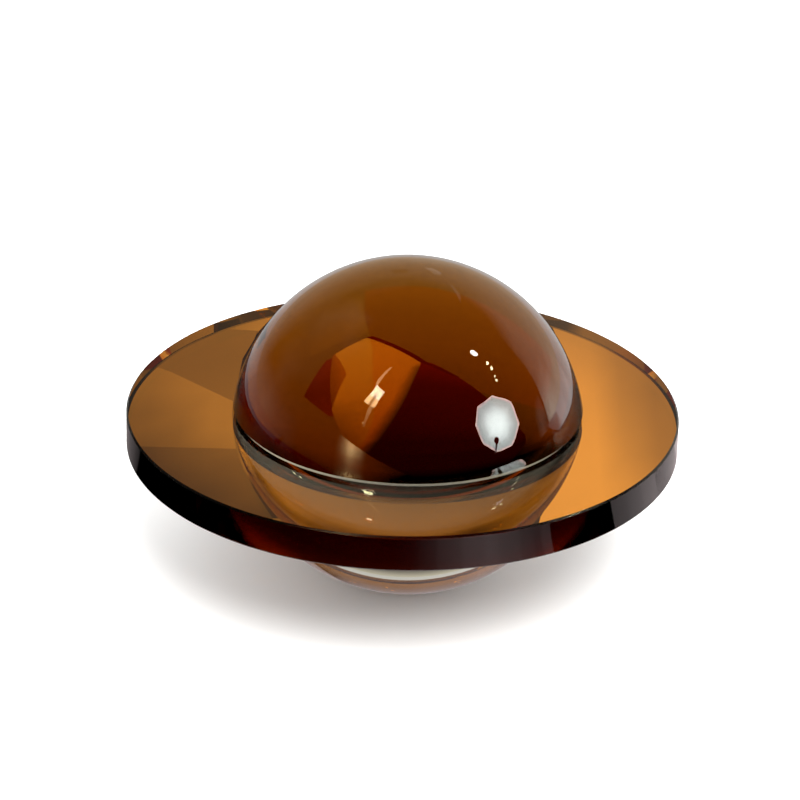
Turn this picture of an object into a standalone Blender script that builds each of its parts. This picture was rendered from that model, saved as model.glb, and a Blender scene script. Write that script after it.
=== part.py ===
"""Planet ornament of solid crystal: a clear ball sawn in two and bonded above and below a round amber plate.

Everything is in metres, +Z up. The ornament stands on the plane z = 0, on the flat that is ground on the underside
of the ball, and the origin lies there on the plate's axis. All three pieces are turned about upright axes. The two
domes share one axis, which is a little beside the plate's, as the ball was bonded by hand.
"""

import math

import bpy

# Driving dimensions
BALL_DIAMETER = 0.0964
RING_DIAMETER = 0.150
RING_THICKNESS = 0.010
TOTAL_HEIGHT = 0.090
CENTRE_OFFSET = 0.00215  # each dome's sphere centre lies this far beyond the middle of the ring
BALL_SHIFT = 0.0014  # of the domes' axis from the ring's, towards +X

# Finishing
GLUE_FILM = 0.0003  # clear adhesive between a dome and the ring
DOME_ARRIS = 0.0008  # ground edge where a dome meets the ring
RING_ARRIS = 0.0005  # ground edges of the ring's rim

# Resolution
TURN_STEPS = 96
ARC_STEPS = 20
MERGE_DISTANCE = 0.00005

# Worked out from the driving dimensions
BALL_RADIUS = BALL_DIAMETER / 2
RING_RADIUS = RING_DIAMETER / 2
HALF_RING = RING_THICKNESS / 2
RING_LEVEL = TOTAL_HEIGHT - BALL_RADIUS + CENTRE_OFFSET  # height of the ring's middle above the foot
FACE_HEIGHT = HALF_RING + GLUE_FILM  # of a dome's flat face from the ring's middle


def start_empty_scene():
    for old in list(bpy.data.objects):
        bpy.data.objects.remove(old)


def glass(name, colour, roughness):
    """Clear or tinted crystal: a fully transmitting Principled shader."""
    material = bpy.data.materials.new(name)
    material.use_nodes = True
    shader = material.node_tree.nodes["Principled BSDF"]
    shader.inputs["Base Color"].default_value = (*colour, 1.0)
    shader.inputs["Roughness"].default_value = roughness
    shader.inputs["Metallic"].default_value = 0.0
    shader.inputs["IOR"].default_value = 1.52
    shader.inputs["Transmission Weight"].default_value = 1.0
    material.diffuse_color = (*colour, 1.0)
    return material


def dome_radius(height):
    """Radius of a dome at this height from the ring's middle."""
    return math.sqrt(BALL_RADIUS**2 - (height + CENTRE_OFFSET) ** 2)


def dome_arc(start, end):
    """Points (radius, height) round the dome's sphere between two heights, in equal steps of angle."""
    first = math.acos((start + CENTRE_OFFSET) / BALL_RADIUS)
    last = math.acos((end + CENTRE_OFFSET) / BALL_RADIUS)
    angles = [first + (last - first) * step / ARC_STEPS for step in range(ARC_STEPS + 1)]
    return [(BALL_RADIUS * math.sin(a), BALL_RADIUS * math.cos(a) - CENTRE_OFFSET) for a in angles]


def dome_face(edge):
    """Points from the ground edge, which starts on the sphere at this height, in to the axis."""
    return [(dome_radius(edge) - DOME_ARRIS, FACE_HEIGHT), (0.0, FACE_HEIGHT)]


def upper_dome_profile():
    """From the top of the ball down to its flat face, with the ground edge between."""
    edge = FACE_HEIGHT + DOME_ARRIS
    return [*dome_arc(BALL_RADIUS - CENTRE_OFFSET, edge), *dome_face(edge)]


def lower_dome_profile():
    """From the flat face under the ring down the ball to the foot that it stands on."""
    edge = FACE_HEIGHT + DOME_ARRIS
    upside_down = [*reversed(dome_face(edge)), *dome_arc(edge, RING_LEVEL), (0.0, RING_LEVEL)]
    return [(radius, -height) for radius, height in upside_down]


def ring_profile():
    """A flat plate with its rim's edges taken off."""
    inner = RING_RADIUS - RING_ARRIS
    shoulder = HALF_RING - RING_ARRIS
    return [
        (0.0, HALF_RING),
        (inner, HALF_RING),
        (RING_RADIUS, shoulder),
        (RING_RADIUS, -shoulder),
        (inner, -HALF_RING),
        (0.0, -HALF_RING),
    ]


def turn(name, profile, material, collection, parent, shift=0.0):
    """A solid of revolution from a profile of (radius, height), which runs from top to bottom.

    Its axis is upright, shift beside its parent's.
    """
    mesh = bpy.data.meshes.new(name)
    points = [(radius, 0.0, height) for radius, height in profile]
    mesh.from_pydata(points, [(i, i + 1) for i in range(len(points) - 1)], [])
    piece = bpy.data.objects.new(name, mesh)
    collection.objects.link(piece)
    piece.parent = parent
    piece.location.x = shift
    piece.data.materials.append(material)
    screw = piece.modifiers.new("turn", "SCREW")
    screw.axis = "Z"
    screw.angle = math.tau
    screw.steps = TURN_STEPS
    screw.render_steps = TURN_STEPS
    screw.use_merge_vertices = True
    screw.merge_threshold = MERGE_DISTANCE
    screw.use_smooth_shade = True
    return piece


def main():
    start_empty_scene()
    collection = bpy.data.collections.new("planet_ornament")
    bpy.context.scene.collection.children.link(collection)

    middle = bpy.data.objects.new("ring_middle", None)
    middle.location = (0.0, 0.0, RING_LEVEL)
    collection.objects.link(middle)

    clear = glass("clear_crystal", (0.95, 0.94, 0.91), 0.0)
    amber = glass("amber_plate_glass", (0.62, 0.27, 0.05), 0.0)

    turn("upper_dome", upper_dome_profile(), clear, collection, middle, BALL_SHIFT)
    turn("ring", ring_profile(), amber, collection, middle)
    turn("lower_dome", lower_dome_profile(), clear, collection, middle, BALL_SHIFT)


main()
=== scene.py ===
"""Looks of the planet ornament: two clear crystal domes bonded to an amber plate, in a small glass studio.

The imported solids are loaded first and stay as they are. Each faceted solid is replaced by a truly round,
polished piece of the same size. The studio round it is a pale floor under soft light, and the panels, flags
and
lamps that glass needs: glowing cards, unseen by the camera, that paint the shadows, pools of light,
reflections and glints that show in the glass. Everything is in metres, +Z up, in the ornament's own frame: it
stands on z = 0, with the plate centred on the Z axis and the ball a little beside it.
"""

import math

import bmesh
import bpy
from bpy.props import FloatProperty, FloatVectorProperty, IntProperty, PointerProperty
from bpy.types import Operator, Panel, PropertyGroup
from mathutils import Matrix, Vector


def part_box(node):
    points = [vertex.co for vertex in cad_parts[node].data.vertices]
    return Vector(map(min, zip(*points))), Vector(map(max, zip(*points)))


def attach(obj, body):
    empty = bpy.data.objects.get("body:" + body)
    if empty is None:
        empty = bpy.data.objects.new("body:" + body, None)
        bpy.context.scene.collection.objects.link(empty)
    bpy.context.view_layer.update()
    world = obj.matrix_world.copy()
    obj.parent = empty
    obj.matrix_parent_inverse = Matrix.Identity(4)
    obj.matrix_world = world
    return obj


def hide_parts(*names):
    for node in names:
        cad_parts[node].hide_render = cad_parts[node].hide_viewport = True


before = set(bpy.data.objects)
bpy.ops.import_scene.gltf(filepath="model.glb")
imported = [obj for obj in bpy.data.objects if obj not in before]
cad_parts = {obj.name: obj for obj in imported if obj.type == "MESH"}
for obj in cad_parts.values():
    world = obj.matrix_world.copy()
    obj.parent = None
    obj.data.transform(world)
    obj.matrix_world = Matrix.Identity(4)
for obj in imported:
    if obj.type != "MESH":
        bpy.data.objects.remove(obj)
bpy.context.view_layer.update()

bl_info = {
    "name": "Planet Ornament",
    "version": (1, 0, 0),
    "blender": (4, 5, 0),
    "location": "3D View > Sidebar > Ornament",
    "description": "Builds a crystal planet ornament and the studio that it stands in",
    "category": "Object",
}

BODY = "root"
PLATE_LOW, PLATE_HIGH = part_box("ring")
UPPER_LOW, UPPER_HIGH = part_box("upper_dome")
LOWER_LOW, LOWER_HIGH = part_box("lower_dome")
PLATE_MIDDLE = (PLATE_LOW.z + PLATE_HIGH.z) / 2
BALL_SHIFT = (UPPER_LOW.x + UPPER_HIGH.x) / 2  # the ball was bonded by hand, a little beside the plate's axis
DOME_BEVEL = 0.0008  # of the solids' domes
MILLIMETRE = 0.001


def ball_radius_from(edge_radius, height):
    """Radius of the sphere whose cap is this high over a circle of this radius."""
    return (edge_radius**2 + height**2) / (2 * height)


# ----------------------------------------------------------------------------------------- sizes and colours


class OrnamentSizes(PropertyGroup):
    """Sizes of the three pieces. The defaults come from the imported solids."""

    plate_radius: FloatProperty(
        name="Plate radius",
        description="Radius of the round plate",
        default=(PLATE_HIGH.x - PLATE_LOW.x) / 2,
        unit="LENGTH",
        precision=5,
    )
    plate_thickness: FloatProperty(
        name="Plate thickness",
        description="Thickness of the round plate",
        default=PLATE_HIGH.z - PLATE_LOW.z,
        unit="LENGTH",
        precision=5,
    )
    plate_bevel: FloatProperty(
        name="Rim bevel",
        description="Width of the ground bevel on the plate's rim",
        default=0.0005,
        unit="LENGTH",
        precision=5,
    )
    ball_radius: FloatProperty(
        name="Ball radius",
        description="Radius of the ball that both domes are cut from",
        default=ball_radius_from(
            (UPPER_HIGH.x - UPPER_LOW.x) / 2, UPPER_HIGH.z - UPPER_LOW.z - DOME_BEVEL
        ),
        unit="LENGTH",
        precision=5,
    )
    dome_bevel: FloatProperty(
        name="Dome bevel",
        description="Width of the ground edge where a dome meets the plate",
        default=DOME_BEVEL,
        unit="LENGTH",
        precision=5,
    )
    turn_steps: IntProperty(
        name="Steps round",
        description="How many steps each piece is turned in",
        default=288,
        min=24,
    )
    arc_steps: IntProperty(
        name="Steps on a dome",
        description="How many steps a dome's arc has from its top to its edge",
        default=72,
        min=8,
    )


class GlassColours(PropertyGroup):
    """Colours and finish of the two glasses."""

    refraction: FloatProperty(
        name="Refraction",
        description="Refractive index of both glasses",
        default=1.52,
        min=1.0,
        max=2.0,
    )
    amber_left: FloatVectorProperty(
        name="Amber",
        description="Share of white light that is left after one centimetre of the plate's glass",
        subtype="COLOR",
        size=3,
        default=(0.549, 0.247, 0.041),
        min=0.0,
        max=1.0,
    )
    clear_left: FloatVectorProperty(
        name="Clear",
        description="Share of white light that is left after one centimetre of the domes' crystal",
        subtype="COLOR",
        size=3,
        default=(0.994, 0.992, 0.975),
        min=0.0,
        max=1.0,
    )
    ground_roughness: FloatProperty(
        name="Ground roughness",
        description="Roughness of the ground bevels",
        default=0.22,
        min=0.0,
        max=1.0,
    )


class StudioSettings(PropertyGroup):
    """The floor, the light and the camera."""

    floor_colour: FloatVectorProperty(
        name="Floor",
        description="Colour of the floor",
        subtype="COLOR",
        size=3,
        default=(0.90, 0.90, 0.89),
        min=0.0,
        max=1.0,
    )
    air_strength: FloatProperty(
        name="Soft light",
        description="Brightness of the soft light that comes from all round",
        default=1.8,
        min=0.0,
    )
    fill_power: FloatProperty(
        name="Front light",
        description="Power of the big soft light above the camera, in watts",
        default=70.0,
        min=0.0,
    )
    card_strength: FloatProperty(
        name="Cards",
        description="Brightness of the cards that show through the glass",
        default=1.0,
        min=0.0,
    )
    panel_strength: FloatProperty(
        name="Panels",
        description="Brightness of the backdrop that shows in the polish",
        default=1.0,
        min=0.0,
    )
    camera_distance: FloatProperty(
        name="Camera distance",
        description="Distance of the camera from the middle of the plate",
        default=1.06,
        unit="LENGTH",
    )
    camera_elevation: FloatProperty(
        name="Camera elevation",
        description="Angle of the camera above the plate",
        default=math.radians(26.324),
        subtype="ANGLE",
    )
    camera_roll: FloatProperty(
        name="Camera roll",
        description="How far the camera leans",
        default=math.radians(1.36),
        subtype="ANGLE",
    )
    camera_lens: FloatProperty(
        name="Lens",
        description="Focal length of the camera, in millimetres",
        default=175.2,
        min=1.0,
    )


# ------------------------------------------------------------------------------------------------- materials


def link(tree, source, output, target, socket):
    tree.links.new(source.outputs[output], target.inputs[socket])


def math_node(tree, operation, *values):
    """A Math node whose inputs are numbers or (node, output) pairs."""
    node = tree.nodes.new("ShaderNodeMath")
    node.operation = operation
    for index, value in enumerate(values):
        if isinstance(value, tuple):
            tree.links.new(value[0].outputs[value[1]], node.inputs[index])
        else:
            node.inputs[index].default_value = value
    return node


def remapped(tree, source, output, low, high, to_low, to_high):
    """Turns one range of a value into another, held at its ends."""
    node = tree.nodes.new("ShaderNodeMapRange")
    link(tree, source, output, node, "Value")
    for socket, value in (("From Min", low), ("From Max", high), ("To Min", to_low), ("To Max", to_high)):
        node.inputs[socket].default_value = value
    return node


def polished_glass_group():
    """Surface of hand-finished crystal: polish with faint waves, ground bevels, dust and glued faces."""
    name = "polished_glass"
    if name in bpy.data.node_groups:
        return bpy.data.node_groups[name]
    tree = bpy.data.node_groups.new(name, "ShaderNodeTree")
    for label, default in (
        ("Polish Roughness", 0.0),
        ("Ground Roughness", 0.2),
        ("Dust Roughness", 0.3),
        ("Dust Amount", 0.1),
        ("Wave Size", 0.02),
    ):
        socket = tree.interface.new_socket(label, in_out="INPUT", socket_type="NodeSocketFloat")
        socket.default_value = default
    for label in ("Roughness", "Height", "Alpha"):
        tree.interface.new_socket(label, in_out="OUTPUT", socket_type="NodeSocketFloat")
    inside = tree.nodes.new("NodeGroupInput")
    outside = tree.nodes.new("NodeGroupOutput")
    place = tree.nodes.new("ShaderNodeTexCoord")

    ground = tree.nodes.new("ShaderNodeAttribute")
    ground.attribute_name = "ground"
    bonded = tree.nodes.new("ShaderNodeAttribute")
    bonded.attribute_name = "bonded"

    # dust: a few fine specks, only where a coarse noise lets them settle
    specks = tree.nodes.new("ShaderNodeTexVoronoi")
    specks.inputs["Scale"].default_value = 420.0
    link(tree, place, "Object", specks, "Vector")
    speck = remapped(tree, specks, "Distance", 0.05, 0.11, 1.0, 0.0)
    patches = tree.nodes.new("ShaderNodeTexNoise")
    patches.inputs["Scale"].default_value = 60.0
    patches.inputs["Detail"].default_value = 3.0
    link(tree, place, "Object", patches, "Vector")
    settled = remapped(tree, patches, "Fac", 0.52, 0.66, 0.0, 1.0)
    dust = math_node(tree, "MULTIPLY", (speck, "Result"), (settled, "Result"))
    dusty = math_node(tree, "MULTIPLY", (dust, "Value"), (inside, "Dust Amount"))
    dust_roughness = math_node(tree, "MULTIPLY", (dusty, "Value"), (inside, "Dust Roughness"))
    ground_roughness = math_node(tree, "MULTIPLY", (ground, "Fac"), (inside, "Ground Roughness"))
    finish = math_node(tree, "MAXIMUM", (inside, "Polish Roughness"), (dust_roughness, "Value"))
    roughness = math_node(tree, "MAXIMUM", (finish, "Value"), (ground_roughness, "Value"))
    link(tree, roughness, "Value", outside, "Roughness")

    # polish: long shallow waves left by the lap, and grain on the ground bevels
    scale = math_node(tree, "DIVIDE", 1.0, (inside, "Wave Size"))
    waves = tree.nodes.new("ShaderNodeTexNoise")
    waves.inputs["Detail"].default_value = 1.0
    link(tree, place, "Object", waves, "Vector")
    link(tree, scale, "Value", waves, "Scale")
    grain = tree.nodes.new("ShaderNodeTexNoise")
    grain.inputs["Scale"].default_value = 5000.0
    link(tree, place, "Object", grain, "Vector")
    ground_grain = math_node(tree, "MULTIPLY", (grain, "Fac"), (ground, "Fac"))
    height = math_node(tree, "ADD", (waves, "Fac"), (ground_grain, "Value"))
    link(tree, height, "Value", outside, "Height")

    # glued faces are filled with clear adhesive of the same refraction, so they don't show
    shown = math_node(tree, "SUBTRACT", 1.0, (bonded, "Fac"))
    link(tree, shown, "Value", outside, "Alpha")
    return tree


def glass_material(name, light_left, base_colour, dust_amount):
    """See-through glass, coloured in the mass. light_left is the share of light left after a centimetre."""
    colours = bpy.context.scene.ornament_glass
    material = bpy.data.materials.new(name)
    material.use_nodes = True
    tree = material.node_tree
    shader = tree.nodes["Principled BSDF"]
    shader.inputs["Base Color"].default_value = (*base_colour, 1.0)
    shader.inputs["Metallic"].default_value = 0.0
    shader.inputs["IOR"].default_value = colours.refraction
    shader.inputs["Transmission Weight"].default_value = 1.0

    surface = tree.nodes.new("ShaderNodeGroup")
    surface.node_tree = polished_glass_group()
    surface.inputs["Ground Roughness"].default_value = colours.ground_roughness
    surface.inputs["Dust Amount"].default_value = dust_amount
    bump = tree.nodes.new("ShaderNodeBump")
    bump.inputs["Strength"].default_value = 0.02
    bump.inputs["Distance"].default_value = 0.00002
    link(tree, surface, "Roughness", shader, "Roughness")
    link(tree, surface, "Alpha", shader, "Alpha")
    link(tree, surface, "Height", bump, "Height")
    link(tree, bump, "Normal", shader, "Normal")

    absorbed = [-math.log(share) / 0.01 for share in light_left]  # per metre
    density = max(absorbed)
    volume = tree.nodes.new("ShaderNodeVolumeAbsorption")
    volume.inputs["Density"].default_value = density
    volume.inputs["Color"].default_value = (*(1.0 - value / density for value in absorbed), 1.0)
    link(tree, volume, "Volume", tree.nodes["Material Output"], "Volume")
    return material


def matte_material(name, colour, roughness, mottling=0.0):
    """Dull card, paper or fabric, with a faint mottle in its colour."""
    material = bpy.data.materials.new(name)
    material.use_nodes = True
    tree = material.node_tree
    shader = tree.nodes["Principled BSDF"]
    shader.inputs["Roughness"].default_value = roughness
    shader.inputs["Specular IOR Level"].default_value = 0.2
    noise = tree.nodes.new("ShaderNodeTexNoise")
    noise.inputs["Scale"].default_value = 9.0
    noise.inputs["Detail"].default_value = 6.0
    shade = tree.nodes.new("ShaderNodeMix")
    shade.data_type = "RGBA"
    shade.inputs["A"].default_value = (*colour, 1.0)
    shade.inputs["B"].default_value = (*(part * (1.0 - mottling) for part in colour), 1.0)
    link(tree, noise, "Fac", shade, "Factor")
    tree.links.new(shade.outputs["Result"], shader.inputs["Base Color"])
    return material


# --------------------------------------------------------------------------------------------- turned pieces


def turned_piece(name, profile, shifts, node, material):
    """A piece turned from a profile of (radius, height, mark of the band below it), top to bottom.

    shifts says how far beside the Z axis each circle of the profile is centred, towards +X.

    The mark is None for polish, "ground" for a ground bevel or "bonded" for a face under the adhesive.
    """
    steps = bpy.context.scene.ornament_sizes.turn_steps
    build = bmesh.new()
    marks = {mark: build.faces.layers.float.new(mark) for mark in ("ground", "bonded")}
    circles = []
    for (radius, height, _), shift in zip(profile, shifts):
        count = steps if radius > 0.0 else 1
        turns = [math.tau * step / count for step in range(count)]
        places = [(shift + radius * math.cos(a), radius * math.sin(a), height) for a in turns]
        circles.append([build.verts.new(place) for place in places])
    for above, below, (_, _, mark) in zip(circles, circles[1:], profile):
        for step in range(steps):
            upper = [above[step % len(above)], above[(step + 1) % len(above)]]
            lower = [below[(step + 1) % len(below)], below[step % len(below)]]
            corners = list(dict.fromkeys([upper[0], *reversed(lower), upper[1]]))
            face = build.faces.new(corners)
            face.smooth = True
            if mark:
                face[marks[mark]] = 1.0
    mesh = bpy.data.meshes.new(name)
    build.to_mesh(mesh)
    build.free()
    mesh.set_sharp_from_angle(angle=math.radians(20.0))
    mesh.materials.append(material)
    piece = bpy.data.objects.new(name, mesh)
    bpy.context.scene.collection.objects.link(piece)
    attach(piece, BODY)
    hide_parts(node)
    return piece


def sphere_arc(centre, radius, start_height, end_height, steps):
    """Profile points down a sphere on the axis, in equal steps of angle."""
    start = math.acos((start_height - centre) / radius)
    end = math.acos((end_height - centre) / radius)
    angles = [start + (end - start) * step / steps for step in range(steps + 1)]
    return [(radius * math.sin(a), centre + radius * math.cos(a), None) for a in angles]


def dome_edge(sizes, centre, height):
    """Radius of a dome's sphere at this height."""
    return math.sqrt(sizes.ball_radius**2 - (height - centre) ** 2)


BOND_DEPTH = 0.00002  # how far a dome's face reaches into the plate, so that no air is left between


class ORNAMENT_OT_upper_dome(Operator):
    """Turn the upper dome: the bigger part of a clear ball, glued on top of the plate"""

    bl_idname = "ornament.upper_dome"
    bl_label = "Upper Dome"

    def execute(self, context):
        sizes = context.scene.ornament_sizes
        centre = UPPER_HIGH.z - sizes.ball_radius
        edge_height = UPPER_LOW.z + sizes.dome_bevel
        face_height = PLATE_HIGH.z - BOND_DEPTH
        face_radius = dome_edge(sizes, centre, edge_height) - sizes.dome_bevel
        arc = sphere_arc(centre, sizes.ball_radius, UPPER_HIGH.z, edge_height, sizes.arc_steps)
        arc[0] = (0.0, UPPER_HIGH.z, None)
        edge = (*arc[-1][:2], "ground")
        profile = [*arc[:-1], edge, (face_radius, face_height, "bonded"), (0.0, face_height, None)]
        shifts = [BALL_SHIFT] * len(profile)
        turned_piece("upper_dome_crystal", profile, shifts, "upper_dome", crystal())
        return {"FINISHED"}


class ORNAMENT_OT_plate(Operator):
    """Turn the ring: a round amber plate with fine ground bevels, glued between the domes"""

    bl_idname = "ornament.plate"
    bl_label = "Amber Plate"

    def execute(self, context):
        sizes = context.scene.ornament_sizes
        half = sizes.plate_thickness / 2
        inner = sizes.plate_radius - sizes.plate_bevel
        glued = (UPPER_HIGH.x - UPPER_LOW.x) / 2 - sizes.dome_bevel
        top, bottom = PLATE_MIDDLE + half, PLATE_MIDDLE - half
        profile = [
            (0.0, top, "bonded"),
            (glued, top, None),
            (inner, top, "ground"),
            (sizes.plate_radius, top - sizes.plate_bevel, None),
            (sizes.plate_radius, bottom + sizes.plate_bevel, "ground"),
            (inner, bottom, None),
            (glued, bottom, "bonded"),
            (0.0, bottom, None),
        ]
        colours = context.scene.ornament_glass
        material = glass_material("plate_amber", colours.amber_left, (1.0, 0.97, 0.92), 0.5)
        shifts = [BALL_SHIFT if radius <= glued else 0.0 for radius, _, _ in profile]
        turned_piece("amber_ring_plate", profile, shifts, "ring", material)
        return {"FINISHED"}


class ORNAMENT_OT_lower_dome(Operator):
    """Turn the lower dome: the rest of the ball, glued under the plate and ground flat to stand on"""

    bl_idname = "ornament.lower_dome"
    bl_label = "Lower Dome"

    def execute(self, context):
        sizes = context.scene.ornament_sizes
        edge_height = LOWER_HIGH.z - sizes.dome_bevel
        edge_radius = (LOWER_HIGH.x - LOWER_LOW.x) / 2
        centre = edge_height + math.sqrt(sizes.ball_radius**2 - edge_radius**2)
        face_height = PLATE_LOW.z + BOND_DEPTH
        arc = sphere_arc(centre, sizes.ball_radius, edge_height, LOWER_LOW.z, sizes.arc_steps)
        profile = [
            (0.0, face_height, "bonded"),
            (edge_radius - sizes.dome_bevel, face_height, "ground"),
            *arc,
            (0.0, LOWER_LOW.z, None),
        ]
        shifts = [BALL_SHIFT] * len(profile)
        turned_piece("lower_dome_crystal", profile, shifts, "lower_dome", crystal())
        return {"FINISHED"}


def crystal():
    """The clear crystal that both domes share."""
    name = "dome_crystal"
    colours = bpy.context.scene.ornament_glass
    return bpy.data.materials.get(name) or glass_material(name, colours.clear_left, (1.0, 1.0, 1.0), 0.5)


# ---------------------------------------------------------------------------------------------------- studio


def towards(azimuth, elevation, distance):
    """A point this far from the middle of the plate. Azimuth 0 is the camera's side, 90 its right."""
    side, height = math.radians(azimuth), math.radians(elevation)
    level = math.cos(height)
    direction = Vector((math.sin(side) * level, -math.cos(side) * level, math.sin(height)))
    return Vector((0.0, 0.0, PLATE_MIDDLE)) + direction * distance


def studio_mesh(name, points, faces, levels, tint, seen):
    """A card or panel that glows evenly or in shades: painted light and shade, reflections and glints for the
    glass. Only rays that leave glass, or glance off it, see it.

    levels gives each point's brightness, and seen is "through" glass or "reflected" in it.
    """
    mesh = bpy.data.meshes.new(name)
    mesh.from_pydata(points, [], faces)
    shade = mesh.attributes.new("level", "FLOAT", "POINT")
    shade.data.foreach_set("value", levels)
    mesh.materials.append(painted_light_glow(tint))
    piece = bpy.data.objects.new(name, mesh)
    bpy.context.scene.collection.objects.link(piece)
    piece.visible_camera = False
    piece.visible_diffuse = False
    piece.visible_shadow = False
    piece.visible_transmission = seen == "through"
    piece.visible_glossy = seen == "reflected"
    return piece


# Tints of the painted light and shade that the cards and panels glow in.
TINTS = {
    "neutral": (1.0, 1.0, 1.0),
    "warm": (1.0, 0.94, 0.78),
    "lamp": (1.0, 0.95, 0.60),
    "straw": (1.0, 0.78, 0.44),
    "honey": (1.0, 0.66, 0.28),
    "rust": (1.0, 0.30, 0.12),
    "ember": (1.0, 0.10, 0.05),
    "pink": (1.0, 0.70, 0.65),
    "rose": (1.12, 0.96, 0.96),
    "cool": (0.91, 1.0, 0.965),
}


def painted_light_glow(tint):
    """Glow of one tint that paints light and shade on the cards and panels. The brightness comes from the
    mesh.
    """
    name = f"{tint}_cloth"
    if name in bpy.data.materials:
        return bpy.data.materials[name]
    material = bpy.data.materials.new(name)
    material.use_nodes = True
    tree = material.node_tree
    tree.nodes.remove(tree.nodes["Principled BSDF"])
    level = tree.nodes.new("ShaderNodeAttribute")
    level.attribute_name = "level"
    glow = tree.nodes.new("ShaderNodeEmission")
    glow.inputs["Color"].default_value = (*TINTS[tint], 1.0)
    link(tree, level, "Fac", glow, "Strength")
    link(tree, glow, "Emission", tree.nodes["Material Output"], "Surface")
    return material


def grid_faces(columns, rows):
    return [
        (r * columns + c, r * columns + c + 1, (r + 1) * columns + c + 1, (r + 1) * columns + c)
        for r in range(rows - 1)
        for c in range(columns - 1)
    ]


def floor_grid(name, across, shades, tint, seen, drop, edge=None):
    """A shaded card on the floor. shades has, for each y, the brightness at each x in across, in mm.

    edge replaces the x of one side, row by row, with an x that follows the ball: (index of the column, xs).
    """
    points = []
    for row, (y, _) in enumerate(shades):
        for column, x in enumerate(across):
            if edge and column == edge[0]:
                x = edge[1][row]
            points.append((x * MILLIMETRE, y * MILLIMETRE, -drop))
    levels = [level for _, row in shades for level in row]
    return studio_mesh(name, points, grid_faces(len(across), len(shades)), levels, tint, seen)


def floor_shape(name, corners, tint, seen, drop):
    """A card on the floor with corners of (x, y, brightness), in millimetres."""
    points = [(x * MILLIMETRE, y * MILLIMETRE, -drop) for x, y, _ in corners]
    levels = [level for _, _, level in corners]
    return studio_mesh(name, points, [tuple(range(len(points)))], levels, tint, seen)


def floor_ring(name, inner, outer, shades, tint, seen, drop):
    """A ring on the floor round the ornament, shaded by azimuth."""
    points = []
    for azimuth, _ in shades:
        side = math.radians(azimuth)
        points += [(math.sin(side) * radius, -math.cos(side) * radius, -drop) for radius in (inner, outer)]
    levels = [level for _, level in shades for _ in range(2)]
    return studio_mesh(name, points, grid_faces(2, len(shades)), levels, tint, seen)


def curved_wall(name, radius, azimuths, rows, tint, seen):
    """An upright panel bent round the ornament. rows has, for each height, the brightness at each azimuth."""
    points = []
    for height, _ in rows:
        for azimuth in azimuths:
            side = math.radians(azimuth)
            points.append((math.sin(side) * radius, -math.cos(side) * radius, height))
    levels = [level for _, shades in rows for level in shades]
    return studio_mesh(name, points, grid_faces(len(azimuths), len(rows)), levels, tint, seen)


def floor_strip(name, rows, tint, seen, drop):
    """A narrow card on the floor. Each row is a y, then the (x, brightness) of each column, in mm."""
    points = [(x * MILLIMETRE, row[0] * MILLIMETRE, -drop) for row in rows for x, _ in row[1:]]
    levels = [level for row in rows for _, level in row[1:]]
    return studio_mesh(name, points, grid_faces(len(rows[0]) - 1, len(rows)), levels, tint, seen)


SCREEN_FOOT = -0.0003
SCREEN_TOP = 0.020
SCREEN_LEAN = 40.5  # millimetres towards the camera at the top
SCREEN_TAPER = 0.963  # share of its foot's x that the top of a screen has


def side_screen(name, rows, tint):
    """A low screen beside the lower dome, with rows of (y, x, brightness) along its foot, in mm.

    It leans forward with the line of sight, so that the plate's free part is seen past it.
    """
    points, levels = [], []
    for y, x, level in rows:
        points.append((x * MILLIMETRE, y * MILLIMETRE, SCREEN_FOOT))
        points.append((x * SCREEN_TAPER * MILLIMETRE, (y - SCREEN_LEAN) * MILLIMETRE, SCREEN_TOP))
        levels += [level, level]
    return studio_mesh(name, points, grid_faces(2, len(rows)), levels, tint, "through")


SKY_DISTANCE = 4.0  # of the panels that show in the polish: so far off that only their direction counts


def sky_grid(name, azimuths, rows, tint, nearer=0.0):
    """A far shaded panel. rows has, for each elevation or tuple of them, the brightness at each azimuth."""
    points, levels = [], []
    for elevations, shades in rows:
        if not isinstance(elevations, tuple):
            elevations = (elevations,) * len(azimuths)
        points += [towards(a, e, SKY_DISTANCE - nearer) for a, e in zip(azimuths, elevations)]
        levels += shades
    return studio_mesh(name, points, grid_faces(len(azimuths), len(rows)), levels, tint, "reflected")


def sky_shape(name, corners, tint, nearer=0.0):
    """A far panel with corners of (azimuth, elevation, brightness)."""
    points = [towards(azimuth, elevation, SKY_DISTANCE - nearer) for azimuth, elevation, _ in corners]
    levels = [level for _, _, level in corners]
    return studio_mesh(name, points, [tuple(range(len(points)))], levels, tint, "reflected")


def sky_panel(name, rows, tint, nearer=0.0):
    """A far shaded panel. Each row has its ends as (azimuth, elevation), then the brightness between them."""
    points, levels = [], []
    for (first_azimuth, first_elevation), (last_azimuth, last_elevation), shades in rows:
        for k, level in enumerate(shades):
            share = k / (len(shades) - 1)
            azimuth = first_azimuth + (last_azimuth - first_azimuth) * share
            elevation = first_elevation + (last_elevation - first_elevation) * share
            points.append(towards(azimuth, elevation, SKY_DISTANCE - nearer))
            levels.append(level)
    return studio_mesh(name, points, grid_faces(len(rows[0][2]), len(rows)), levels, tint, "reflected")


def sky_fan(name, centre, corners, rings, tint, nearer=0.0):
    """A far panel round a centre. Places are (azimuth, elevation) and rings are (share, brightness)."""
    points, levels, faces = [towards(*centre, SKY_DISTANCE - nearer)], [rings[0][1]], []
    sides = len(corners)
    for ring, (share, level) in enumerate(rings[1:]):
        first = 1 + ring * sides
        for k, corner in enumerate(corners):
            place = [middle + (end - middle) * share for middle, end in zip(centre, corner)]
            points.append(towards(*place, SKY_DISTANCE - nearer))
            levels.append(level)
            inner = (0,) if ring == 0 else (first - sides + (k + 1) % sides, first - sides + k)
            faces.append((*inner, first + k, first + (k + 1) % sides))
    return studio_mesh(name, points, faces, levels, tint, "reflected")


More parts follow.
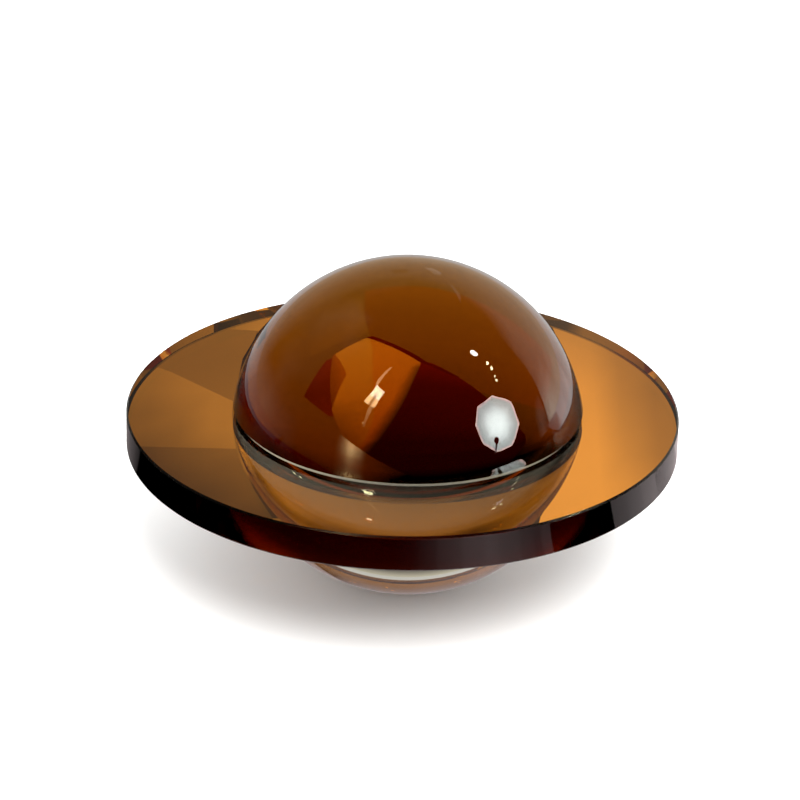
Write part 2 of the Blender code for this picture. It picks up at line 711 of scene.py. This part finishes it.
CARD_DROP = 0.0002  # the shaded cards lie this far under the floor that the camera sees
STRIP_DROP = 0.7  # share of the drop at which the first of the narrow cards lies
STRIP_STEP = 0.06  # each later one lies this share higher
BACK_PANEL_RADIUS = 0.22
GLINT_RADIUS = 0.08
GLINT_LEVEL = 10.0
FLAGS_INNER = 0.06
FLAGS_OUTER = 1.6
FOOT_REACH = 16  # millimetres, as the other cards on the floor are
UNDER_REACH = 62


def scaled(rows, strength):
    """Rows of (place, brightnesses), all brightened by the same share."""
    return [(place, [level * strength for level in row]) for place, row in rows]


def build_seen_through(strength):
    """The cards under and behind the ornament that show through its glass, glowing with painted shadows and
    painted light.
    """

    def lit(rows, fixed):
        return [(*row[:fixed], *(level * strength for level in row[fixed:])) for row in rows]

    # The floor seen through the glass, with painted light and shade, darker towards the back.
    wide = (-1500, -300, -150, -85, 85, 300, 1500)
    table = [
        (-1500, [0.5] * 7),
        (30, [0.5] * 7),
        (70, [0.5, 0.9, 0.6, 0.4, 0.3, 0.3, 0.5]),
        (110, [0.4, 0.7, 0.4, 0.4, 0.2, 0.4, 0.4]),
        (122, [0.2, 0.2, 0.0, 0.0, 0.1, 0.2, 0.2]),
        (1500, [0.1] * 7),
    ]
    floor_grid("table", wide, scaled(table, strength), "neutral", "through", CARD_DROP)
    foot = [(x * FOOT_REACH, y * FOOT_REACH, 0.02) for x, y in circle_points(24)]
    floor_shape("foot_shadow", foot, "neutral", "through", CARD_DROP * 0.9)
    # Painted shade on the floor under and behind the ball: dark by its foot and in its shadow behind, lighter
    # between.
    across = (-51, -38, -25, 0, 10, 25, 54)
    middle = [
        (15, [0.1] * 7),
        (34, [0.15] * 7),
        (40, [0.4] * 7),
        (44, [0.7, 0.6, 0.55, 0.55, 0.6, 0.6, 0.7]),
        (72, [0.6, 0.45, 0.5, 0.4, 0.4, 0.5, 0.7]),
        (92, [0.5, 0.5, 0.25, 0.05, 0.4, 0.4, 0.65]),
        (100, [0.25, 0.15, 0.05, 0.0, 0.4, 0.35, 0.4]),
        (106, [0.1, 0.0, 0.0, 0.0, 0.35, 0.25, 0.15]),
        (122, [0.0] * 7),
        (150, [0.0] * 7),
    ]
    floor_grid("middle_card", across, scaled(middle, strength), "neutral", "through", CARD_DROP * 0.8)
    # Narrow cards of painted light and shade seen through the dome: the ball's shadow behind it, the pool of
    # light that the ball focuses there, and patches and edges round them, each in its own tint.
    painted_shadow_card = [
        (77.9, (0, 0.3), (1, 0.3)),
        (81, (-5, 0.15), (1.7, 0.15)),
        (86, (-12.5, 0.15), (3.2, 0.1)),
        (92, (-21, 0.1), (5.4, 0.05)),
        (96.5, (-24, 0.05), (7, 0.05)),
        (103, (-24, 0.05), (3.7, 0.05)),
        (110, (-24, 0.0), (0, 0.0)),
        (122, (-24, 0.0), (-6, 0.0)),
    ]
    painted_brown_shade = [
        (60.5, (-24, 0.6), (-8, 0.55), (5.6, 0.55)),
        (68, (-24, 0.6), (-8, 0.45), (5.1, 0.45)),
        (76, (-24, 0.5), (-8, 0.4), (4, 0.4)),
        (81, (-24, 0.5), (-8, 0.35), (4, 0.3)),
    ]
    painted_dim_patch = [
        (75, (8, 0.45), (9, 0.4)),
        (81, (8.7, 0.3), (14.2, 0.25)),
        (86.4, (9.3, 0.35), (10.2, 0.35)),
    ]
    painted_light_facet = [
        (74.5, (7.6, 0.8), (8.1, 0.6)),
        (78.7, (6.4, 0.85), (8.6, 0.5)),
        (84.8, (8.9, 0.55), (9.2, 0.4)),
    ]
    painted_olive_patch = [
        (62, (5.7, 0.5), (12.5, 0.45)),
        (70, (4.9, 0.55), (12, 0.45)),
        (72.6, (4.5, 0.45), (11.5, 0.45)),
    ]
    # Painted pool of light that the ball focuses on the floor.
    painted_light_pool = [
        (73.2, (4.6, 1.1), (4.7, 1.1), (4.8, 1.1)),
        (74.4, (3.7, 1.2), (6, 1.2), (7.8, 1.2)),
        (76, (2.3, 1.2), (5, 1.2), (7.2, 1.2)),
        (77.8, (0.7, 1.1), (1.5, 1.2), (6.7, 1.2)),
        (78.7, (0.8, 0.3), (1.5, 1.2), (6.5, 1.2)),
        (82.8, (1.6, 0.2), (2.5, 1.1), (8.4, 1.1)),
        (84.8, (2.1, 0.15), (3.1, 1.05), (9.3, 0.8)),
        (87.2, (2.8, 0.1), (4.1, 1.0), (9.3, 0.6)),
        (91.6, (4.3, 0.05), (5.7, 0.75), (9.2, 0.45)),
        (96.4, (6.3, 0.05), (7.9, 0.45), (10.4, 0.4)),
    ]
    painted_light_pool_facet = [
        (73.4, (4.2, 1.1), (4.3, 1.1), (4.4, 1.1)),
        (75.5, (2.8, 1.2), (3.4, 1.2), (4.1, 1.2)),
        (77.8, (0.7, 1.1), (1.5, 1.15), (4.1, 1.2)),
        (78.7, (0.8, 0.3), (1.5, 1.15), (4.1, 1.2)),
        (82.8, (1.6, 0.2), (2.5, 1.1), (4.1, 1.15)),
        (84.8, (2.1, 0.15), (3.1, 1.0), (4.2, 1.1)),
        (87.2, (2.8, 0.1), (4.1, 0.95), (4.6, 1.0)),
        (91.6, (4.3, 0.05), (5.7, 0.75), (5.9, 0.75)),
        (96.4, (6.3, 0.05), (7.9, 0.45), (8.1, 0.45)),
    ]
    painted_seam_shade = [
        (73, (4.2, 0.25), (4.7, 0.25)),
        (77.9, (0.2, 0.2), (0.8, 0.2)),
        (79.2, (-2.4, 0.2), (-1.6, 0.15)),
    ]
    # Painted edge of the ornament's shadow, in a dark red tint.
    painted_shadow_edge = [
        (76, (51.8, 0.3), (52.2, 0.25)),
        (89.5, (48.6, 0.3), (52.5, 0.2)),
        (100, (37, 0.25), (52.1, 0.15)),
        (110, (23, 0.15), (51.2, 0.1)),
        (128, (10, 0.05), (48.2, 0.05)),
    ]
    strips = (
        ("painted_shadow_edge", painted_shadow_edge, "ember"),
        ("painted_brown_shade", painted_brown_shade, "straw"),
        ("painted_shadow_card", painted_shadow_card, "ember"),
        ("painted_dim_patch", painted_dim_patch, "rust"),
        ("painted_olive_patch", painted_olive_patch, "neutral"),
        ("painted_light_facet", painted_light_facet, "honey"),
        ("painted_light_pool", painted_light_pool, "neutral"),
        ("painted_light_pool_facet", painted_light_pool_facet, "straw"),
        ("painted_seam_shade", painted_seam_shade, "ember"),
    )
    for number, (name, rows, tint) in enumerate(strips):
        rows = [(y, *((x, level * strength) for x, level in columns)) for y, *columns in rows]
        floor_strip(name, rows, tint, "through", CARD_DROP * (STRIP_DROP - STRIP_STEP * number))

    # Painted light and shade on the floor left of the ornament, darker in its shadow towards the front.
    left = (-90, -75, -65, -56, -40)
    left_front = [
        (-20, [0.15, 0.15, 0.15, 0.15, 0.15]),
        (10, [0.1, 0.1, 0.1, 0.1, 0.15]),
        (30, [0.1, 0.1, 0.15, 0.2, 0.35]),
        (40, [0.1, 0.1, 0.2, 0.3, 0.4]),
        (50, [0.1, 0.15, 0.3, 0.4, 0.45]),
        (57.5, [0.15, 0.2, 0.35, 0.45, 0.55]),
    ]
    left_middle = [
        (57.5, [0.35, 0.35, 0.5, 0.7, 0.85]),
        (70, [0.4, 0.5, 0.6, 0.9, 0.95]),
        (80, [0.45, 0.5, 0.7, 0.95, 0.95]),
        (95, [0.55, 0.65, 0.85, 0.95, 0.95]),
        (115, [0.65, 0.7, 0.85, 0.9, 0.9]),
    ]
    front_edge = (4, (-34, -34, -41, -44, -46.5, -48))
    middle_edge = (4, (-48, -49.5, -50.3, -50.5, -50))
    for name, rows, edge in (
        ("left_front_card", left_front, front_edge),
        ("left_middle_card", left_middle, middle_edge),
    ):
        floor_grid(name, left, scaled(rows, strength), "neutral", "through", CARD_DROP * 0.75, edge)
    # Painted light on the floor behind the ornament's left, brightest at its far end.
    left_back = [
        (-50.3, 88.5, 0.6),
        (-70, 107.5, 0.5),
        (-90, 122, 0.45),
        (-90, 152, 0.5),
        (-54, 152, 0.6),
        (-52, 138.6, 0.6),
        (-44.8, 138.2, 0.6),
        (-49, 118, 0.55),
    ]
    left_far = [(-54, 138.8, 0.8), (-44.8, 138.2, 1.05), (-40, 152, 1.05), (-54, 152, 0.85)]
    floor_shape("left_far_card", lit(left_far, 2), "neutral", "through", CARD_DROP * 0.6)
    floor_shape("left_back_card", lit(left_back, 2), "neutral", "through", CARD_DROP * 0.6)
    # Painted light on the floor right of the ornament, lit by the softbox and brightest next to the ball.
    right = (40, 57, 65, 75, 84)
    right_card = [
        (-20, [1.9, 1.9, 1.6, 1.2, 1.0]),
        (20, [1.9, 2.0, 1.8, 1.25, 1.0]),
        (40, [2.0, 2.0, 1.7, 1.15, 0.9]),
        (60, [2.0, 2.0, 1.45, 0.95, 0.8]),
        (80, [1.9, 1.9, 1.3, 0.9, 0.8]),
        (100, [1.9, 1.75, 1.15, 0.8, 0.8]),
        (120, [1.6, 1.5, 1.05, 0.8, 0.75]),
        (150, [1.3, 1.2, 0.8, 0.7, 0.65]),
    ]
    right_edge = (0, (34, 39.5, 45.7, 50.4, 52.9, 52.7, 50.5, 45))
    rows = scaled(right_card, strength)
    floor_grid("right_card", right, rows, "neutral", "through", CARD_DROP * 0.75, right_edge)
    # Painted shade in a corner beside the dome.
    dark_corner = [(31, 36, 0.1), (39, 36, 0.1), (37, 51, 0.05), (30, 51, 0.05)]
    floor_shape("dark_corner", lit(dark_corner, 2), "neutral", "through", CARD_DROP * 0.5)

    # Screens beside the lower dome, glowing with painted light and shade that darkens towards the back.
    left_screen = [
        (42, -43.5, 0.9),
        (50, -45.7, 0.8),
        (58, -47.2, 0.5),
        (66, -48.2, 0.3),
        (90, -49.8, 0.4),
        (98, -49.6, 0.35),
        (106, -49, 0.05),
        (114, -48.2, 0.0),
        (135, -45.2, 0.0),
    ]
    right_screen = [
        (42, 46, 0.4),
        (58, 49.7, 0.3),
        (74, 52.2, 0.3),
        (90, 52.6, 0.2),
        (106, 51.8, 0.15),
        (114, 50.8, 0.05),
        (135, 47.2, 0.0),
    ]
    side_screen("left_screen", lit(left_screen, 2), "neutral")
    side_screen("right_screen", lit(right_screen, 2), "ember")

    # A wall behind the ornament, seen through the glass, glowing with painted light and shade: brightest at
    # its two ends and darker in the middle, in even tones above.
    around = (100, 115, 135, 150, 165, 195, 210, 225, 240, 255)
    back = [
        (0.000, [1.5, 1.5, 0.8, 0.4, 0.15, 0.1, 0.15, 0.15, 0.4, 0.4]),
        (0.012, [1.5, 1.5, 0.8, 0.4, 0.3, 0.2, 0.15, 0.15, 0.4, 0.4]),
        (0.018, [1.5, 1.6, 0.8, 0.6, 0.6, 0.4, 0.15, 0.15, 0.4, 0.4]),
        (0.040, [2.0, 2.5, 0.9, 0.8, 0.7, 0.55, 0.55, 0.2, 1.0, 2.0]),
        (0.056, [3.0, 3.3, 0.9, 0.85, 0.7, 0.55, 0.6, 0.6, 1.4, 3.0]),
        (0.064, [8.0, 3.6, 0.5, 0.95, 0.5, 0.2, 0.65, 0.5, 2.2, 4.0]),
        (0.072, [8.0, 3.6, 0.45, 0.9, 0.3, 0.1, 0.55, 0.6, 3.0, 9.0]),
        (0.080, [2.5, 2.0, 0.35, 0.55, 0.15, 0.2, 0.5, 0.7, 1.8, 3.0]),
        (0.090, [1.0, 1.0, 0.35, 0.45, 0.15, 0.2, 0.5, 0.8, 1.2, 1.0]),
        (0.108, [0.6] * 10),
    ]
    curved_wall("back_panel", BACK_PANEL_RADIUS, around, scaled(back, strength), "warm", "through")
    tones = ((0.108, 0.65), (0.15, 0.7), (0.20, 0.5), (0.30, 0.4))
    upper = [(height, [level] * len(around)) for height, level in tones]
    curved_wall("upper_back_panel", BACK_PANEL_RADIUS, around, scaled(upper, strength), "neutral", "through")


def circle_points(sides):
    """Corners of a round shape of radius 1."""
    return [(math.cos(math.tau * k / sides), math.sin(math.tau * k / sides)) for k in range(sides)]


def build_reflected(strength):
    """Painted reflections of the softbox, lamps, panels and floor flags that show in the polish, and painted
    glints that show through the glass.
    """

    # Painted reflections of the floor and the flags round the ornament, shaded by azimuth.
    near = [
        (-180, 0.3), (-115, 0.15), (-108, 0.0), (-2, 0.0), (5, 0.05), (12, 0.3), (20, 0.65),
        (27.5, 0.85), (31.5, 0.7), (39, 0.45), (43.5, 0.3), (45.5, 0.3), (46, 0.4), (49, 0.4),
        (49.5, 0.0), (74.5, 0.0), (75, 0.5), (84, 0.65), (92, 0.8), (125, 0.8), (180, 0.5),
    ]
    far = [
        (-180, 0.7), (-168, 0.75), (-156, 0.6), (-132, 0.35), (-108, 0.25), (-84, 0.0), (100, 0.0),
        (102, 0.35), (114, 1.8), (126, 1.35), (140, 0.8), (160, 0.8), (180, 0.65),
    ]
    floor_ring("near_flags", FLAGS_INNER, BACK_PANEL_RADIUS, near, "rose", "reflected", CARD_DROP)
    floor_ring("far_flags", BACK_PANEL_RADIUS, FLAGS_OUTER, far, "neutral", "reflected", CARD_DROP)
    # Painted reflection of the floor under the ornament, with painted shade, darkest towards the left front.
    under = [(x * UNDER_REACH, y * UNDER_REACH, 0.44) for x, y in circle_points(24)]
    floor_shape("under_card", under, "rose", "reflected", CARD_DROP * 0.9)
    under_across = (-34, -20, -10, 0, 8, 18, 26, 34)
    under_shade = [
        (-36, [0.2, 0.2, 0.2, 0.25, 0.4, 0.45, 0.5, 0.6]),
        (-27, [0.2, 0.2, 0.25, 0.3, 0.4, 0.45, 0.55, 0.6]),
        (-23, [0.05, 0.15, 0.35, 0.4, 0.45, 0.45, 0.6, 0.65]),
        (-15, [0.0, 0.05, 0.4, 0.45, 0.45, 0.45, 0.5, 0.55]),
    ]
    floor_grid("under_shade", under_across, under_shade, "rose", "reflected", CARD_DROP * 0.8)

    # Painted reflections of the backdrops, with their glow, dip, slit and patch.
    edges = (0.0, 1.5, 7.0, 20.0, 40.0, 64.0)  # degrees beyond the backdrop's leaning edge
    right_back = [
        (-4, 104, [0.0, 1.7, 2.5, 1.6, 0.8, 0.7, 0.65]),
        (0, 104, [0.0, 1.9, 2.5, 1.4, 0.7, 0.6, 0.6]),
        (5, 104.5, [0.0, 1.7, 2.0, 0.95, 0.6, 0.55, 0.5]),
        (10, 105.5, [0.0, 1.0, 1.15, 0.65, 0.6, 0.45, 0.45]),
        (15, 107, [0.0, 0.45, 0.6, 0.6, 0.55, 0.4, 0.35]),
        (30, 112, [0.0, 0.25, 0.45, 0.55, 0.35, 0.25, 0.25]),
        (40, 120, [0.0, 0.0, 0.0, 0.05, 0.1, 0.05, 0.05]),
        (45, 124, [0.0] * 7),
    ]
    points = [
        towards(azimuth, elevation, SKY_DISTANCE)
        for elevation, start, _ in right_back
        for azimuth in (*(start + edge for edge in edges), 180.0)
    ]
    levels = [level * strength for _, _, row in right_back for level in row]
    faces = grid_faces(len(edges) + 1, len(right_back))
    studio_mesh("right_backdrop", points, faces, levels, "warm", "reflected")
    left_azimuths = (-180, -150, -141, -131, -122, -110, -96, -74)
    left_back = [
        (-8, [0.6, 0.5, 0.5, 0.35, 0.4, 0.35, 0.2, 0.0]),
        (1, [0.55, 0.4, 0.25, 0.25, 0.3, 0.4, 0.2, 0.0]),
        (6, [0.45, 0.3, 0.2, 0.05, 0.15, 0.25, 0.15, 0.0]),
        (11, [0.4, 0.3, 0.15, 0.0, 0.0, 0.1, 0.05, 0.0]),
        (20, [0.3, 0.2, 0.1, 0.0, 0.05, 0.1, 0.0, 0.0]),
        (30, [0.25, 0.1, 0.05, 0.05, 0.05, 0.05, 0.05, 0.0]),
        (38, [0.1, 0.0, 0.05, 0.15, 0.1, 0.05, 0.05, 0.0]),
        (50, [0.0, 0.0, 0.15, 0.2, 0.1, 0.05, 0.05, 0.0]),
        (57, [0.0, 0.0, 0.0, 0.2, 0.15, 0.1, 0.1, 0.0]),
        (68, [0.0] * 8),
    ]
    sky_grid("left_backdrop", left_azimuths, scaled(left_back, strength), "warm")
    glow = [(-4, [0.0, 0.3, 0.05]), (0, [0.05, 0.35, 0.1]), (6, [0.0, 0.3, 0.25]), (12, [0.0, 0.0, 0.1])]
    sky_grid("backdrop_glow", (93, 98, 104), scaled(glow, strength), "warm", nearer=0.1)
    dip = [(24, [0.15, 0.15]), (30, [0.15, 0.15])]
    sky_grid("backdrop_dip", (181.1, 186.0), scaled(dip, strength), "warm", nearer=0.1)
    slit = [(147.5, 48, 0.2), (156, 42.5, 0.35), (165.5, 33.5, 0.4), (163.5, 34, 0.45), (154, 41.5, 0.35)]
    sky_shape("backdrop_slit", slit, "warm", nearer=0.1)
    patch = [(170, 27, 0.45), (172, 28, 0.5), (176.5, 20, 0.6), (174.5, 19, 0.8), (171, 23, 0.8)]
    sky_shape("backdrop_patch", patch, "warm", nearer=0.1)

    # Painted reflection of the softbox, with its edge, stem and knob.
    centre = (64.0, 17.8)
    corners = (
        (70.5, 32.6), (81.5, 23.0), (79.9, 10.3), (70.5, 2.6),
        (59.1, 3.2), (50.3, 10.9), (48.6, 23.0), (55.1, 31.9),
    )
    rings = ((0.0, 21.5), (0.28, 20.5), (0.41, 18.5), (0.55, 15.0), (0.69, 11.0), (0.83, 8.5), (0.94, 8.0))
    sky_fan("softbox_edge", centre, corners, ((0.0, 14.0), (1.01, 14.0)), "pink")
    sky_fan("softbox", centre, corners, rings, "cool", nearer=0.05)
    stem = [(57.2, 3.2, 1.0), (58.5, 3.0, 1.0), (60.6, 8.4, 1.0), (59.2, 8.8, 1.0)]
    sky_shape("softbox_stem", stem, "neutral", nearer=0.1)
    knob = [(60.9, 11.8), (62.0, 10.0), (61.3, 7.8), (59.7, 7.4), (58.4, 9.4), (59.1, 11.3)]
    sky_fan("softbox_knob", (60.2, 9.7), knob, ((0.0, 0.0), (1.0, 0.0)), "neutral", nearer=0.15)
    # Painted reflections of the lamps high on the right.
    top_lamp = ((90.7, 56.3), (93.5, 55.3), (92.1, 52.2), (89.5, 51.8), (87.1, 52.8), (88.0, 55.7))
    sky_shape("lamp_1", [(*corner, 30.0) for corner in top_lamp], "neutral")
    lamps = (
        (88.9, 45.1, 1.8, 0.95),
        (87.5, 41.9, 1.7, 0.95),
        (84.0, 38.2, 1.1, 0.55),
        (82.6, 36.3, 1.2, 0.65),
    )
    for number, (azimuth, elevation, wide, high) in enumerate(lamps, 2):
        rim = [(azimuth + wide * x, elevation + high * y) for x, y in circle_points(10)]
        sky_fan(f"lamp_{number}", (azimuth, elevation), rim, ((0.0, 32.0), (0.7, 28.0), (1.0, 22.0)), "lamp")

    # Painted reflection of a window, with its glare, tail and bead.
    top = [
        ((-32.2, 52.4), (-23.1, 49.1), [20, 20, 20, 20, 20, 20, 15]),
        ((-33.5, 49.0), (-24.2, 46.1), [22, 22, 22, 20, 22, 22, 16]),
        ((-34.3, 47.1), (-24.9, 44.4), [22, 22, 22, 6, 22, 22, 18]),
    ]
    foot = [
        ((-35.1, 45.3), (-25.5, 42.8), [22, 20, 20, 3, 12, 20, 16]),
        ((-36.6, 41.5), (-26.7, 39.4), [18, 18, 18, 2, 10, 20, 14]),
        ((-37.4, 39.6), (-27.4, 37.8), [15, 15, 15, 5, 8, 15, 10]),
    ]
    sky_panel("window_top", top, "lamp")
    sky_panel("window_middle", [top[-1], foot[0]], "lamp")
    sky_panel("window_foot", foot, "honey")
    glare = [
        (-26.8, 66.2, 4.0), (-24.2, 65.8, 4.0), (-29.6, 58.2, 6.0),
        (-31.4, 52.0, 8.0), (-34.6, 52.4, 8.0), (-33.2, 58.8, 6.0),
    ]
    sky_shape("window_glare", glare, "honey", nearer=0.1)
    tail = [(-31.8, 38.5, 4.0), (-28.6, 38.5, 4.0), (-30.5, 25, 1.0), (-32.4, 25, 1.0)]
    sky_shape("window_tail", tail, "honey")
    bead = [(-32.4 + x, 27.5 + 0.9 * y) for x, y in circle_points(8)]
    sky_fan("window_bead", (-32.4, 27.5), bead, ((0.0, 5.0), (1.0, 3.0)), "honey", nearer=0.1)
    # Painted reflection of the pillar, an upright glowing streak with a leaning top.
    pillar_azimuths = (-47, -44, -42, -40, -37.8, -35.8, -33.7, -31.7, -29.6, -27.6, -25.6)
    pillar = (0.0, 0.7, 1.9, 3.6, 7.4, 8.6, 6.1, 3.9, 2.3, 0.7, 0.0)
    slope = tuple(15.6 - 0.33 * (azimuth + 43.4) for azimuth in pillar_azimuths)  # the pillar's leaning top
    shares = ((slope, 1.1), (9.0, 0.95), (6.4, 0.7), (3.9, 0.35), (1.5, 0.25), (-1.0, 0.15), (-6.0, 0.2))
    rows = [(elevation, [level * share for level in pillar]) for elevation, share in shares]
    sky_grid("pillar", pillar_azimuths, rows, "honey")

    glints = (
        (175.7, 61.6, 0.22), (176.5, 69.3, 0.30), (188.5, 59.5, 0.24), (189.4, 59.8, 0.20),
        (190.0, 63.3, 0.13), (190.1, 64.8, 0.10), (167.8, 65.3, 0.16), (168.7, 65.5, 0.18),
    )
    for number, (azimuth, height, reach) in enumerate(glints, 1):
        sides = (azimuth - reach, azimuth + reach)
        rows = [(h * MILLIMETRE, [GLINT_LEVEL] * 2) for h in (height - reach, height + reach)]
        curved_wall(f"glint_{number}", GLINT_RADIUS, sides, rows, "lamp", "through")


FLOOR_REACH = 3.0
FILL_WIDTH = 1.2
CAMERA_AIM = Vector((-0.0008, 0.0, 0.00724))  # from the middle of the plate


class ORNAMENT_OT_studio(Operator):
    """Build the studio: the pale floor, the soft light, the cards and panels for the glass, and the camera"""

    bl_idname = "ornament.studio"
    bl_label = "Studio"

    def execute(self, context):
        settings = context.scene.ornament_studio
        mesh = bpy.data.meshes.new("floor")
        turns = ((-1, -1), (1, -1), (1, 1), (-1, 1))
        corners = [(x * FLOOR_REACH, y * FLOOR_REACH, 0.0) for x, y in turns]
        mesh.from_pydata(corners, [], [(0, 1, 2, 3)])
        mesh.materials.append(matte_material("pale_floor", settings.floor_colour, 0.6, 0.02))
        floor = bpy.data.objects.new("floor", mesh)
        context.scene.collection.objects.link(floor)
        floor.visible_transmission = False
        floor.visible_glossy = False
        build_seen_through(settings.card_strength)
        build_reflected(settings.panel_strength)

        world = bpy.data.worlds.new("studio_air")
        context.scene.world = world
        world.use_nodes = True
        background = world.node_tree.nodes["Background"]
        background.inputs["Color"].default_value = (1.0, 1.0, 1.0, 1.0)
        background.inputs["Strength"].default_value = settings.air_strength
        world.cycles_visibility.glossy = False
        world.cycles_visibility.transmission = False
        fill = bpy.data.lights.new("front_fill", "AREA")
        fill.shape = "DISK"
        fill.size = FILL_WIDTH
        fill.energy = settings.fill_power
        lamp = bpy.data.objects.new("front_fill", fill)
        context.scene.collection.objects.link(lamp)
        lamp.location = towards(15.0, 50.0, 2.2)
        lamp.rotation_mode = "QUATERNION"
        lamp.rotation_quaternion = (Vector((0.0, 0.0, 0.0)) - lamp.location).to_track_quat("-Z", "Y")
        lamp.visible_glossy = False
        lamp.visible_transmission = False
        context.scene.view_settings.view_transform = "Standard"
        make_camera(context, settings)
        return {"FINISHED"}


def make_camera(context, settings):
    camera = bpy.data.cameras.new("camera")
    camera.lens = settings.camera_lens
    camera.clip_start = 0.01
    camera.clip_end = 50.0
    holder = bpy.data.objects.new("camera", camera)
    context.scene.collection.objects.link(holder)
    elevation = math.degrees(settings.camera_elevation)
    place = towards(0.0, elevation, settings.camera_distance)
    target = Vector((0.0, 0.0, PLATE_MIDDLE)) + CAMERA_AIM
    look = (target - place).to_track_quat("-Z", "Y").to_matrix().to_4x4()
    holder.matrix_world = Matrix.Translation(place) @ look @ Matrix.Rotation(settings.camera_roll, 4, "Z")
    context.scene.camera = holder


# ---------------------------------------------------------------------------------------------- registration


class ORNAMENT_PT_panel(Panel):
    """Lists the ornament's pieces, their sizes and their colours"""

    bl_idname = "ORNAMENT_PT_panel"
    bl_label = "Planet Ornament"
    bl_space_type = "VIEW_3D"
    bl_region_type = "UI"
    bl_category = "Ornament"

    def draw(self, context):
        layout = self.layout
        for label, group in (
            ("Sizes", context.scene.ornament_sizes),
            ("Glass", context.scene.ornament_glass),
            ("Studio", context.scene.ornament_studio),
        ):
            box = layout.box()
            box.label(text=label)
            for name in group.__annotations__:
                box.prop(group, name)
        for operator in OPERATORS:
            layout.operator(operator.bl_idname)


OPERATORS = (ORNAMENT_OT_upper_dome, ORNAMENT_OT_plate, ORNAMENT_OT_lower_dome, ORNAMENT_OT_studio)
GROUPS = {
    "ornament_sizes": OrnamentSizes,
    "ornament_glass": GlassColours,
    "ornament_studio": StudioSettings,
}


def register():
    for kind in (*GROUPS.values(), *OPERATORS, ORNAMENT_PT_panel):
        bpy.utils.register_class(kind)
    for name, kind in GROUPS.items():
        setattr(bpy.types.Scene, name, PointerProperty(type=kind))


def unregister():
    for name in GROUPS:
        delattr(bpy.types.Scene, name)
    for kind in reversed((*GROUPS.values(), *OPERATORS, ORNAMENT_PT_panel)):
        bpy.utils.unregister_class(kind)


def main():
    register()
    bpy.ops.ornament.upper_dome()
    bpy.ops.ornament.plate()
    bpy.ops.ornament.lower_dome()
    bpy.ops.ornament.studio()


if __name__ == "__main__":
    main()
